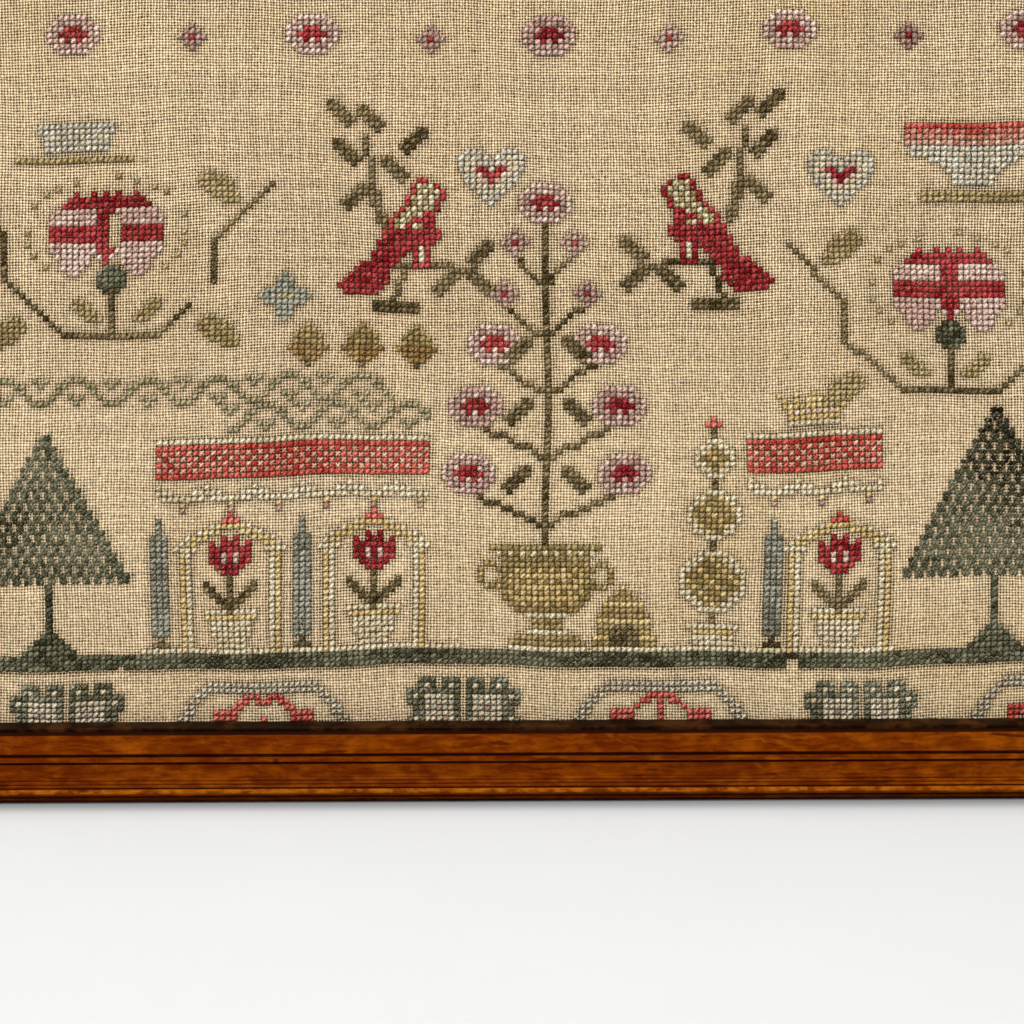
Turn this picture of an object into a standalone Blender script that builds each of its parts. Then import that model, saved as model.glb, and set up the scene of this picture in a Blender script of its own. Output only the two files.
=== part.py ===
"""A framed cross stitch sampler: an upright linen ground behind a dark slip, in a moulded maple frame.

Metres, +Z up. The sampler faces -Y and its back lies in the plane y = 0, against the wall.
The origin is the middle of that back.
"""

import math

import bmesh
import bpy
from mathutils import Matrix, Vector

MM = 0.001

# The stitched field sets the frame's size: one cross stitch covers two threads each way.
STITCH_WIDTH = 1.785 * MM
STITCH_HEIGHT = 1.695 * MM
STITCHES_ACROSS = 234
STITCHES_UP = 260
SIGHT_WIDTH = STITCHES_ACROSS * STITCH_WIDTH
SIGHT_HEIGHT = STITCHES_UP * STITCH_HEIGHT

# Heights above the wall, from the back of the frame to its front.
GAP = 0.3 * MM
BOARD_THICKNESS = 4.0 * MM
LINEN_THICKNESS = 1.2 * MM
LINEN_BACK = BOARD_THICKNESS + GAP
LINEN_FRONT = LINEN_BACK + LINEN_THICKNESS
SLIP_BACK = LINEN_FRONT + GAP
SLIP_THICKNESS = 6.2 * MM
SLIP_FRONT = SLIP_BACK + SLIP_THICKNESS
LIP_BACK = SLIP_FRONT + GAP
FRAME_FRONT = 16.5 * MM
OUTER_EDGE_FRONT = 13.6 * MM

# Distances outward from the sight edge, where the linen meets the slip.
SLIP_BEVEL = 0.7 * MM
SLIP_EASING = (0.15 * MM, 0.25 * MM)
SLIP_SHOWN = 1.6 * MM
REBATE_WALL = 8.0 * MM
REBATE_FIT = REBATE_WALL - GAP

# The moulding's members from the inner edge outward, by width.
BAND_WIDTH = 5.5 * MM
WIDE_GROOVE = 1.0 * MM
FILLET_WIDTH = 1.45 * MM
NARROW_GROOVE = 0.7 * MM
HOLLOW_WIDTH = 3.8 * MM
REED_WIDTH = 1.05 * MM
REED_COUNT = 3
BEAD_RADIUS = 1.15 * MM
OUTER_SLOPE_WIDTH = 2.2 * MM

GROOVE_DEPTH = 0.9 * MM
GROOVE_SLANT = 0.18 * MM
FILLET_DROP = 0.25 * MM
HOLLOW_SINK = 0.45 * MM
REED_RISE = 0.22 * MM
REED_FLAT = (0.30, 0.70)
BEAD_QUIRK = 0.55 * MM
BEAD_STEP = 0.15 * MM
EDGE_ROUNDING = 0.35 * MM
HOLLOW_STEPS = 6
SLOPE_STEPS = 6

# A mitre stops short of its corner by this much, so that two members stand GAP apart.
MITRE_SETBACK = GAP * math.sqrt(0.5)
TRIM_ALLOWANCE = 10 * MM
WELD_DISTANCE = 0.001 * MM
SHARP_ANGLE = 28


def clear_scene():
    for old in list(bpy.data.objects):
        bpy.data.objects.remove(old, do_unlink=True)


def make_material(name, colour, roughness, metallic=0.0):
    """A Principled material with one colour, roughness and metallic value."""
    material = bpy.data.materials.new(name)
    material.use_nodes = True
    shader = material.node_tree.nodes["Principled BSDF"]
    shader.inputs["Base Color"].default_value = (*colour, 1.0)
    shader.inputs["Roughness"].default_value = roughness
    shader.inputs["Metallic"].default_value = metallic
    return material


def arc(centre, radius, start, end, steps):
    """Points on an arc about (across, height), with angles in degrees from the outward direction."""
    points = []
    for step in range(steps + 1):
        angle = math.radians(start + (end - start) * step / steps)
        points.append((centre[0] + radius * math.cos(angle), centre[1] + radius * math.sin(angle)))
    return points


def groove(across, width, top):
    """A sunk line with slanting sides, and the place where it ends."""
    bottom = top - GROOVE_DEPTH
    points = [
        (across, top),
        (across + GROOVE_SLANT, bottom),
        (across + width - GROOVE_SLANT, bottom),
        (across + width, top),
    ]
    return points, across + width


def rail_section():
    """The moulding's section as (outward from the sight edge, height above the wall)."""
    across = SLIP_SHOWN
    rounding = (across + EDGE_ROUNDING, FRAME_FRONT - EDGE_ROUNDING)
    points = [(across, LIP_BACK)]
    points += arc(rounding, EDGE_ROUNDING, 180, 90, 4)

    across += BAND_WIDTH
    line, across = groove(across, WIDE_GROOVE, FRAME_FRONT)
    points += line
    fillet_front = FRAME_FRONT - FILLET_DROP
    points[-1] = (across, fillet_front)
    across += FILLET_WIDTH
    line, across = groove(across, NARROW_GROOVE, fillet_front)
    points += line

    for step in range(1, HOLLOW_STEPS + 1):
        share = step / HOLLOW_STEPS
        sink = HOLLOW_SINK * math.sin(share * math.pi / 2)
        points.append((across + share * HOLLOW_WIDTH, fillet_front - sink))
    across += HOLLOW_WIDTH
    reed_base = fillet_front - HOLLOW_SINK

    for reed in range(REED_COUNT):
        start = across + reed * REED_WIDTH
        for share in REED_FLAT:
            points.append((start + share * REED_WIDTH, reed_base + REED_RISE))
        points.append((start + REED_WIDTH, reed_base))
    across += REED_COUNT * REED_WIDTH

    bead_centre = (across + BEAD_RADIUS, FRAME_FRONT - BEAD_RADIUS)
    points.append((across, reed_base - BEAD_QUIRK))
    points += arc(bead_centre, BEAD_RADIUS, 170, 0, 12)
    across += 2 * BEAD_RADIUS
    points.append((across, reed_base - BEAD_QUIRK))

    slope_top = reed_base - BEAD_QUIRK / 2
    slope_run = OUTER_SLOPE_WIDTH - BEAD_STEP
    for step in range(SLOPE_STEPS + 1):
        share = step / SLOPE_STEPS
        fall = (slope_top - OUTER_EDGE_FRONT) * (1 - math.cos(share * math.pi / 2))
        points.append((across + BEAD_STEP + share * slope_run, slope_top - fall))
    across += OUTER_SLOPE_WIDTH

    points += [(across, 0.0), (REBATE_WALL, 0.0), (REBATE_WALL, LIP_BACK)]
    return points


def slip_section():
    """The dark slip's section: its inner face leans outward, and its back half lies in the rebate."""
    ease_across, ease_down = SLIP_EASING
    return [
        (0.0, SLIP_BACK),
        (SLIP_BEVEL - ease_across, SLIP_FRONT - ease_down),
        (SLIP_BEVEL + ease_across, SLIP_FRONT),
        (REBATE_FIT, SLIP_FRONT),
        (REBATE_FIT, SLIP_BACK),
    ]


def extruded_outline(name, outline, half_length):
    """A closed outline in the curve's own XY plane, extruded both ways along Z, as a welded mesh object."""
    curve = bpy.data.curves.new(name, "CURVE")
    curve.dimensions = "2D"
    curve.fill_mode = "BOTH"
    curve.extrude = half_length
    spline = curve.splines.new("POLY")
    spline.points.add(len(outline) - 1)
    for point, (across, height) in zip(spline.points, outline):
        point.co = (across, height, 0.0, 1.0)
    spline.use_cyclic_u = True
    guide = bpy.data.objects.new(name + "_outline", curve)
    bpy.context.scene.collection.objects.link(guide)
    graph = bpy.context.evaluated_depsgraph_get()
    mesh = bpy.data.meshes.new_from_object(guide.evaluated_get(graph))
    mesh.name = name
    bpy.data.objects.remove(guide, do_unlink=True)
    return mesh


def cut_end(body, point, outward):
    """Cuts everything beyond a plane and closes the cut."""
    cut = bmesh.ops.bisect_plane(
        body,
        geom=body.verts[:] + body.edges[:] + body.faces[:],
        dist=WELD_DISTANCE / 10,
        plane_co=point,
        plane_no=outward,
        clear_outer=True,
    )
    rim = [item for item in cut["geom_cut"] if isinstance(item, bmesh.types.BMEdge)]
    bmesh.ops.triangle_fill(body, edges=rim, use_beauty=True)


def add_member(name, section, side, material, collection):
    """One mitred member. side is the quarter turn about Y that carries the bottom member to its place."""
    upright = side % 2 == 1
    half_along = (SIGHT_HEIGHT if upright else SIGHT_WIDTH) / 2
    half_out = (SIGHT_WIDTH if upright else SIGHT_HEIGHT) / 2
    widest = max(across for across, height in section)
    mesh = extruded_outline(name, section, half_along + widest + TRIM_ALLOWANCE)

    # The outline's across, height and length become downward, forward and sideways.
    lay = Matrix(((0, 0, 1, 0), (0, -1, 0, 0), (-1, 0, 0, -half_out), (0, 0, 0, 1)))
    body = bmesh.new()
    body.from_mesh(mesh)
    bmesh.ops.remove_doubles(body, verts=body.verts, dist=WELD_DISTANCE)
    body.transform(lay)
    for end in (-1, 1):
        corner = Vector((end * (half_along - MITRE_SETBACK), 0.0, -half_out))
        cut_end(body, corner, Vector((end, 0.0, 1.0)).normalized())
    bmesh.ops.recalc_face_normals(body, faces=body.faces)
    body.to_mesh(mesh)
    body.free()

    member = bpy.data.objects.new(name, mesh)
    member.rotation_euler = (0.0, side * math.pi / 2, 0.0)
    mesh.materials.append(material)
    mesh.shade_smooth()
    mesh.set_sharp_from_angle(angle=math.radians(SHARP_ANGLE))
    collection.objects.link(member)
    return member


def add_panel(name, back, thickness, rounding, material, collection):
    """A flat panel that fills the rebate behind the slip, between two heights above the wall."""
    body = bmesh.new()
    bmesh.ops.create_cube(body, size=1.0)
    size = Vector((SIGHT_WIDTH + 2 * REBATE_FIT, thickness, SIGHT_HEIGHT + 2 * REBATE_FIT))
    bmesh.ops.scale(body, vec=size, verts=body.verts)
    mesh = bpy.data.meshes.new(name)
    body.to_mesh(mesh)
    body.free()
    mesh.materials.append(material)
    panel = bpy.data.objects.new(name, mesh)
    panel.location = (0.0, -(back + thickness / 2), 0.0)
    collection.objects.link(panel)
    bevel = panel.modifiers.new("soft_edges", "BEVEL")
    bevel.width = rounding
    bevel.segments = 2
    return panel


def build():
    clear_scene()
    parts = bpy.data.collections.new("framed_sampler")
    bpy.context.scene.collection.children.link(parts)

    maple = make_material("honey_maple", (0.200, 0.050, 0.004), 0.38)
    ebonised = make_material("ebonised_slip", (0.018, 0.009, 0.004), 0.30)
    linen = make_material("unbleached_linen", (0.560, 0.430, 0.270), 0.90)
    pine = make_material("aged_pine", (0.300, 0.180, 0.080), 0.75)

    sides = ("bottom", "left", "top", "right")
    for side, place in enumerate(sides):
        kind = "stile" if side % 2 else "rail"
        add_member(f"frame_{kind}_{place}", rail_section(), side, maple, parts)
        add_member(f"slip_{place}", slip_section(), side, ebonised, parts)
    add_panel("linen_ground", LINEN_BACK, LINEN_THICKNESS, 0.25 * MM, linen, parts)
    add_panel("back_board", 0.0, BOARD_THICKNESS, 0.4 * MM, pine, parts)


build()
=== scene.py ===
"""The looks of a framed cross stitch sampler: wool on open linen, a dark slip and a figured maple frame.

Metres, +Z up. The stitched face looks to -Y, the frame's back lies in the plane y = 0.
Charts are counted in stitches from the lower left corner of the cloth that shows.
"""

import math

import bpy
import numpy as np
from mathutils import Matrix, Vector


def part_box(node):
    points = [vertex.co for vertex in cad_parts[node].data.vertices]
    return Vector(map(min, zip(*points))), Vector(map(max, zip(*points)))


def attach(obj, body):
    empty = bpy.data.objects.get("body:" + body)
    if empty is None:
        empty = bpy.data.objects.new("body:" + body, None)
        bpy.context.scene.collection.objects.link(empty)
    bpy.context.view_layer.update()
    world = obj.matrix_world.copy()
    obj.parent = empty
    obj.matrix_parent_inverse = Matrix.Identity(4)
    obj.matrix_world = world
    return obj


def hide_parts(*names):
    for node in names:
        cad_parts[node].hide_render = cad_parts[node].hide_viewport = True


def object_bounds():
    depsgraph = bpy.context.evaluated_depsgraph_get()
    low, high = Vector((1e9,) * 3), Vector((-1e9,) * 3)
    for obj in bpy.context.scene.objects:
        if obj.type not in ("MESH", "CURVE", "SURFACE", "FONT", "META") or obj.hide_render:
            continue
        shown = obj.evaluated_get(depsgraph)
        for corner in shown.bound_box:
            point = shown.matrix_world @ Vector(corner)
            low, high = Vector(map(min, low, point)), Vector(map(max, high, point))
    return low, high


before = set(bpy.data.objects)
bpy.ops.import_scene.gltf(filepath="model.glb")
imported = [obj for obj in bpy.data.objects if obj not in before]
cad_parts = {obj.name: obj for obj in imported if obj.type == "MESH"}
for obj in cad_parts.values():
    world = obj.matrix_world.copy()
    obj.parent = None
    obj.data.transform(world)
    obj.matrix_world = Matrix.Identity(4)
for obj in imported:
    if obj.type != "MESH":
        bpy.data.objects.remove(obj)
cad_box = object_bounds()

MM = 0.001

# The cloth's counted field, and its place in the frame.
STITCH_WIDTH = 1.785 * MM
STITCH_HEIGHT = 1.695 * MM
SIGHT_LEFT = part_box("slip_left")[1].x
SIGHT_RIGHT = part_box("slip_right")[0].x
SIGHT_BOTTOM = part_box("slip_bottom")[1].z
SIGHT_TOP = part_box("slip_top")[0].z
ACROSS = round((SIGHT_RIGHT - SIGHT_LEFT) / STITCH_WIDTH)
UPWARD = round((SIGHT_TOP - SIGHT_BOTTOM) / STITCH_HEIGHT)
LINEN_LOW, LINEN_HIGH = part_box("linen_ground")
FLOOR = cad_box[0].z

# Heights above the wall.
CLOTH_BACK = -LINEN_HIGH.y
CLOTH_FRONT = CLOTH_BACK + 0.65 * MM
HOLE_DEPTH = 0.16 * MM
UNDER_CREST = 0.12 * MM
OVER_CREST = 0.28 * MM

THREADS_PER_STITCH = 2

# The stitcher's hand: no two strands lie quite alike.
HAND_SEED = 52
hand = np.random.default_rng(HAND_SEED)


# Shader maths


def operators(operation):
    """A Python operator and its reflected form, each of which adds a Math node."""

    def forward(self, other):
        return self.finish.maths(operation, self, other)

    def reflected(self, other):
        return self.finish.maths(operation, other, self)

    return forward, reflected


class Signal:
    """A socket that varies over a surface. Arithmetic on it adds Math nodes to its finish."""

    def __init__(self, finish, socket):
        self.finish = finish
        self.socket = socket

    __add__, __radd__ = operators("ADD")
    __sub__, __rsub__ = operators("SUBTRACT")
    __mul__, __rmul__ = operators("MULTIPLY")
    __truediv__, __rtruediv__ = operators("DIVIDE")
    __pow__, __rpow__ = operators("POWER")
    __mod__, __rmod__ = operators("FLOORED_MODULO")

    def __abs__(self):
        return self.finish.maths("ABSOLUTE", self)

    def clipped(self):
        """The same number, kept between 0 and 1."""
        return self.finish.node("ShaderNodeClamp", Value=self)

    def eased(self, low, high):
        """0 below low, 1 above high, and smooth between."""
        settings = {"interpolation_type": "SMOOTHSTEP"}
        sockets = {"Value": self, "From Min": low, "From Max": high}
        return self.finish.node("ShaderNodeMapRange", settings, **sockets)


class Finish:
    """A material around one Principled shader."""

    def __init__(self, name, **constants):
        self.material = bpy.data.materials.new(name)
        self.material.use_nodes = True
        self.tree = self.material.node_tree
        self.shader = self.tree.nodes["Principled BSDF"]
        for socket, value in constants.items():
            self.shader.inputs[socket.replace("_", " ")].default_value = value

    def node(self, kind, settings=None, out=0, **sockets):
        """Adds a node, sets it up, fills its sockets with values or links, and returns one output."""
        added = self.tree.nodes.new(kind)
        for key, value in (settings or {}).items():
            setattr(added, key, value)
        for key, value in sockets.items():
            self.feed(self.socket_of(added, key), value)
        return Signal(self, added.outputs[out])

    def socket_of(self, added, key):
        """An input by its name, or by its number after an underscore."""
        return added.inputs[int(key[1:])] if key[0] == "_" else added.inputs[key]

    def feed(self, socket, value):
        """Links a signal to a socket, or sets the socket to a number, a vector or a colour."""
        if isinstance(value, Signal):
            self.tree.links.new(value.socket, socket)
        elif isinstance(value, tuple) and len(value) == 3 and len(socket.default_value) == 4:
            socket.default_value = (*value, 1.0)
        else:
            socket.default_value = value

    def maths(self, operation, first, second=0.0):
        """A Math node's result."""
        return self.node("ShaderNodeMath", {"operation": operation}, _0=first, _1=second)

    def noise(self, place, scale, detail=2.0, roughness=0.5):
        """Noise from 0 to 1 about a place."""
        sockets = {"Vector": place, "Scale": scale, "Detail": detail, "Roughness": roughness}
        return self.node("ShaderNodeTexNoise", **sockets)

    def mix(self, factor, first, second):
        """A colour between two."""
        return self.node("ShaderNodeMix", {"data_type": "RGBA"}, out=2, _0=factor, _6=first, _7=second)

    def scaled(self, colour, amount):
        """A colour made brighter or darker by a number."""
        return self.node("ShaderNodeVectorMath", {"operation": "SCALE"}, _0=colour, _3=amount)

    def join(self, x, y, z=0.0):
        """A vector from three numbers."""
        return self.node("ShaderNodeCombineXYZ", X=x, Y=y, Z=z)

    def part(self, vector, axis):
        """One number of a vector, by its axis."""
        return self.node("ShaderNodeSeparateXYZ", out="XYZ".index(axis), Vector=vector)

    def place(self):
        """The point on the object, in metres."""
        return self.node("ShaderNodeTexCoord", out=3)

    def attribute(self, name):
        """A number that the mesh keeps at its points."""
        return self.node("ShaderNodeAttribute", {"attribute_name": name}, out=2)

    def paint(self, **sockets):
        """Feeds the shader's own sockets."""
        for key, value in sockets.items():
            self.feed(self.shader.inputs[key.replace("_", " ")], value)

    def relief(self, height, depth, strength=1.0):
        """Turns a height from 0 to 1 into a normal; depth is its full height in metres."""
        bump = self.node("ShaderNodeBump", Height=height, Distance=depth, Strength=strength)
        self.paint(Normal=bump)


# Linen


# Heights between which the weave grows more open.
OPEN_WEAVE = (SIGHT_BOTTOM + 70 * MM, SIGHT_BOTTOM + 130 * MM)
# Heights below which the cloth is painted paler: painted light near the lower sight edge.
PAINTED_LIGHT_LOW = (SIGHT_BOTTOM + 10 * MM, SIGHT_BOTTOM + 22 * MM)

# Half of a thread's width, how far it wanders, and how much its width varies, in threads.
THREAD_HALF = 0.35
THREAD_WANDER = 0.55
THREAD_VARIETY = 0.07
SLUB_VARIETY = 0.26
WEAVE_DEPTH = 0.25 * MM

# Linear colours of the cloth.
FLAX = (0.84, 0.66, 0.435)
STAINED_FLAX = (0.76, 0.56, 0.32)
BLUSHED_FLAX = (0.82, 0.64, 0.45)
# A shaded copy of the flax, for the painted shade in the threads' low parts.
SHADED_FLAX = (0.84, 0.545, 0.2)
# Painted shade: the dark of the backing seen through the weave's gaps and the holes that stitches open.
SHADED_PORE = (0.026, 0.012, 0.0022)


def linen_finish():
    """Open plain weave: two thread systems that pass over and under, with painted shade in the dark pores
    between them.
    """
    linen = Finish("unbleached_linen", Roughness=0.95, Specular_IOR_Level=0.0)
    count = linen.node("ShaderNodeUVMap", {"uv_map": "threads"})
    spot = linen.place()
    pull = linen.attribute("pull")
    wool_shade = linen.attribute("wool_shade")
    raw_u = linen.part(count, "X")
    raw_v = linen.part(count, "Y")
    open_weave = linen.part(spot, "Z").eased(*OPEN_WEAVE)

    def thread(across, along, seed):
        """One thread system: a point's place across it, its thread's number, how far inside the thread it
        lies, how high the thread's round back stands there, and the thread's brightness."""
        lane = linen.maths("FLOOR", across)
        wander = linen.noise(linen.join(lane * 3.71 + seed, along * 0.31), 1.0, 1.0)
        across = across + (wander - 0.5) * THREAD_WANDER
        index = linen.maths("FLOOR", across)
        white = {"noise_dimensions": "2D"}
        own = linen.node("ShaderNodeTexWhiteNoise", white, Vector=linen.join(index, seed))
        crossing = linen.join(index, linen.maths("FLOOR", along))
        knob = linen.node("ShaderNodeTexWhiteNoise", white, Vector=crossing)
        slub = linen.noise(linen.join(index * 5.3 + seed, along * 0.22), 1.0)
        half = THREAD_HALF + (own - 0.5) * THREAD_VARIETY + (slub - 0.5) * SLUB_VARIETY
        half = half * (1.0 - 0.22 * pull) * (1.0 - 0.13 * open_weave)
        offset = abs(across - index - 0.5)
        inside = (1.0 - offset / half).eased(-0.12, 0.26)
        round_top = (1.0 - (offset / half) ** 2.0).clipped() ** 0.5
        fibre = linen.noise(linen.join(across * 6.0, along * 1.4, seed), 1.0)
        bright = 0.6 + own * 0.16 + slub * 0.34 + knob * 0.24 + (fibre - 0.5) * 0.6
        return across, index, inside, round_top, bright

    warp_u, warp_index, warp_in, warp_top, warp_bright = thread(raw_u, raw_v, 3.0)
    weft_v, weft_index, weft_in, weft_top, weft_bright = thread(raw_v, raw_u, 9.0)
    over = linen.maths("COSINE", warp_index * math.pi) * linen.maths("SINE", weft_v * math.pi)
    under = linen.maths("COSINE", weft_index * math.pi) * linen.maths("SINE", warp_u * math.pi)
    warp_height = warp_in * (0.44 + 0.28 * warp_top + 0.28 * over)
    weft_height = weft_in * (0.44 + 0.28 * weft_top - 0.28 * under)
    warp_leads = (warp_height - weft_height).eased(-0.04, 0.04)
    height = linen.maths("MAXIMUM", warp_height, weft_height)
    solid = linen.maths("MAXIMUM", warp_in, weft_in)
    bright = weft_bright + warp_leads * (warp_bright - weft_bright)

    def off_hole(threads):
        """How far a point lies from the nearest hole along one side, from 0 to 1."""
        return abs((threads / THREADS_PER_STITCH + 0.5) % 1.0 - 0.5) * 2.0

    off_u = off_hole(raw_u)
    off_v = off_hole(raw_v)
    hole = (1.0 - linen.maths("SQRT", off_u * off_u + off_v * off_v).eased(0.2, 0.55)) * pull

    stain = linen.noise(spot, 16.0, 4.0, 0.6).eased(0.44, 0.68)
    blush = linen.noise(spot, 7.0).eased(0.42, 0.62)
    light_patch = linen.noise(spot, 38.0, 3.0)
    lit = linen.mix(stain * 0.8, FLAX, STAINED_FLAX)
    lit = linen.mix(blush * 0.5, lit, BLUSHED_FLAX)
    # Painted shade: the threads' low parts take the shaded flax and grow darker with their height.
    cream = linen.mix(height.eased(0.35, 0.95), SHADED_FLAX, lit)
    # Painted light: the cloth is made paler towards the lower sight edge.
    margin = 1.0 - linen.part(spot, "Z").eased(*PAINTED_LIGHT_LOW)
    shade = bright * (0.03 + 1.16 * height ** 1.5) * (0.9 + 0.2 * light_patch + 0.08 * margin)
    # Painted shade on the linen where wool lies on it.
    shade = shade * (1.0 - 0.38 * wool_shade)
    # The pores and opened holes are painted with shade; the threads carry their own painted shade.
    linen.paint(Base_Color=linen.mix(solid * (1.0 - hole), SHADED_PORE, linen.scaled(cream, shade)))
    linen.relief(height * (1.0 - hole), WEAVE_DEPTH)
    return linen.material


# Wool

# Each dye has a name, a linear colour where it is worn and where it is deep, and how plump its strands lie.
DYES = {
    "g": ("fir_green", (0.25, 0.245, 0.15), (0.034, 0.034, 0.015), 1.0),
    "i": ("black_green", (0.12, 0.112, 0.062), (0.01, 0.01, 0.004), 0.98),
    "h": ("faded_green", (0.43, 0.42, 0.28), (0.095, 0.094, 0.052), 0.84),
    "o": ("olive_brown", (0.34, 0.25, 0.12), (0.052, 0.035, 0.01), 0.84),
    "l": ("pale_leaf", (0.62, 0.47, 0.23), (0.34, 0.24, 0.09), 0.8),
    "r": ("crimson", (0.58, 0.085, 0.08), (0.215, 0.008, 0.012), 1.02),
    "e": ("madder_red", (0.9, 0.24, 0.18), (0.5, 0.056, 0.044), 0.94),
    "k": ("open_madder", (0.88, 0.205, 0.14), (0.46, 0.044, 0.03), 0.86),
    "f": ("faded_rose", (0.93, 0.58, 0.43), (0.7, 0.3, 0.2), 0.66),
    "s": ("salmon", (0.78, 0.4, 0.275), (0.47, 0.18, 0.11), 0.98),
    "p": ("faded_pink", (0.92, 0.68, 0.56), (0.6, 0.35, 0.28), 0.92),
    "b": ("blue_grey", (0.48, 0.465, 0.36), (0.17, 0.164, 0.114), 0.88),
    "c": ("ivory", (0.92, 0.79, 0.55), (0.68, 0.55, 0.33), 0.94),
    "y": ("straw", (0.88, 0.68, 0.33), (0.64, 0.43, 0.16), 0.9),
    "w": ("silver_grey", (0.86, 0.78, 0.61), (0.52, 0.45, 0.335), 0.9),
    "v": ("linen_grey", (0.78, 0.68, 0.5), (0.5, 0.425, 0.3), 0.72),
    "m": ("mauve", (0.69, 0.45, 0.36), (0.37, 0.205, 0.16), 0.92),
    "n": ("sage", (0.54, 0.46, 0.265), (0.31, 0.26, 0.13), 0.86),
    "t": ("tan", (0.52, 0.325, 0.13), (0.24, 0.13, 0.04), 0.92),
    "d": ("old_gold", (0.54, 0.395, 0.17), (0.25, 0.17, 0.055), 0.96),
}
FLUFF = (0.8, 0.6, 0.42)
FUZZ_DEPTH = 0.09 * MM


def wool_finish(name, worn, deep):
    """Two-ply worsted: a dye that has faded unevenly, with painted shade where a strand dives into the cloth,
    on its flanks and on the lower strand.
    """
    wool = Finish(name + "_wool", Roughness=0.95, Specular_IOR_Level=0.0)
    spot = wool.place()
    tone = wool.attribute("tone")
    crest = wool.attribute("crest")
    fuzz = wool.noise(spot, 2700.0).eased(0.3, 0.7)
    patch = wool.noise(spot, 260.0)
    fade = (tone + (patch - 0.5) + (fuzz - 0.5) * 0.5).clipped()
    fluff = wool.noise(spot, 1500.0, 1.0).eased(0.62, 0.74)
    colour = wool.mix(fluff * 0.3, wool.mix(fade, deep, worn), FLUFF)
    # Painted shade from the crest number, times the fibres' random fuzz.
    shade = (0.16 + 1.02 * crest) * (0.64 + 0.72 * fuzz)
    wool.paint(Base_Color=wool.scaled(colour, shade))
    wool.relief(fuzz, FUZZ_DEPTH)
    return wool.material


# Charts, from the top row down. A dot is bare linen, a letter is a dye. A half chart's last column is the
# middle one, and the right half mirrors the left.

HALF_CHARTS = {
    "heart": ".www.. wwcww. wccpww wcprrw .wcprr .wwcpr ..wccp ...wwc ....ww .....w",
    "star": "....b ...bb ...bb .bbbb bbbnn .bbbb ...bb ...bb ....b",
    "carnation": """
        .....r..r.r ....rrrrrrr ...rrrrrrrr ..ppppppprr .pppppppprr .pppppppprr .rrrrrrrrrr .rrrrrrrrrr
        .rrrrrrrrrr .pppppppprr .pppppppprr ..pppppp.pr ...ppppp..r ...pppp.... ....pp.....
    """,
    "calyx": ".gg ggg ggg ggg .gg",
    "border_square": """
        ..hhh.hhh. ..hch.hch. hhhhhhhhh. hchcwcwch. hhhwcwcwh. .hhcwmwch. .hhwcwcwh. hchcccmch. hhhhhhhhh.
    """,
    "border_arch": """
        .....vvvvvvvvvv ....vvvvvvvvvvv ...vv.......eee ..vv.......ee.e .vv.......e...e .vv...eeee....e
        vv....eeee....e vv....ee......e v..............
    """,
    "border_hoop": """
        .....vvvvvvvvvv ....vvvvvvvvvvv ...vv......eee. ..vv......ee.ee .vv......ee.... .vv...eeee.....
        vv....eeee....e vv....ee......e v..............
    """,
    "tulip_pot": """
        ....r. ..r.rr ..rrrr ..rrpr ..rrpr ...rrr ....rr .....o .o...o .oo..o ..oo.o ...ooo ....oo .cccco
        .yyyyy ..cccc ..cccc ..cccc ...ccc ...ccc ..cccc
    """,
    "urn": """
        ..dddddddddd ...cdcdcdcdc ....dddddddd .dd.dddddddd d..dddydydyd d...dydyyyyy d..ddyydydyd
        .dddddyyyyyy ....dydydydy ....ddyyyyyy .....ddydydy ......dddddd ........cccc .........ddd
        .........ddd ........cccc ......dddddd .....ddddddd .....ccccccc
    """,
    "skep": ".....y ....dd ...ddd ..yyyy ..dddd .ddddd .yyyyy .dddod .ddooo yyyooo dddooo cccccc",
    "rose": "..ppp .pmmp pmprr pmrrr pmprp .pmmp ..ppp",
    "small_bloom": "..m .mm mmr .mm ..m",
    "crown": "y..y..y .y.y.yy .yyyyyy ..ypypy ..yyyyy ..ccccc",
    "tub": "wwwwwww wwwwwww .wcwwcw .wwwwww .wwcwwc",
    "basket": """
        eeeeeeeeeeee esesesesesee ssssssssssss spspspspspsp .wwwwwwwwwww .wwcwwcwwcww ....wwwwwwww
        ......wcwwcw .......wwwww ........cwwc ........wwww
    """,
    "acorn": "...o ..tt .ttt tttt .ddd .ddd ..dd ...d",
}

CHARTS = {
    "bird": """
        ...rr.............. .rclcr............. rclclr............. rlclclr............ .rclclr............
        .rlclclr........... ..rrclclr.......... ..rrrrlclr......... ..rrlcrclr......... .rrrrrrrrrr........
        .rrrrrrrrrr........ ..rrrrrrrrrr....... ...rcrrrrrrr....... ...rcr.rrrrrr...... ...rcr..rrrrr......
        ...rrr...rrrrrr.... ..........rrrrrr... ..........rrrrrrr.. ..........rrrrrrrr. ...........rrrrrrrr
        ............rrrrrr.
    """,
    "leaf": "...oo ..ooo .ooo. ooo.. .o...",
    "pale_leaf": "....ll. ..lllll .llllll .lllll. lllll.. lll....",
    "bud_leaf": "...ll ..lll .lll. lll..",
}


def whole(name):
    """A chart's full rows."""
    if name in CHARTS:
        return CHARTS[name].split()
    return [row + row[-2::-1] for row in HALF_CHARTS[name].split()]


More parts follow.
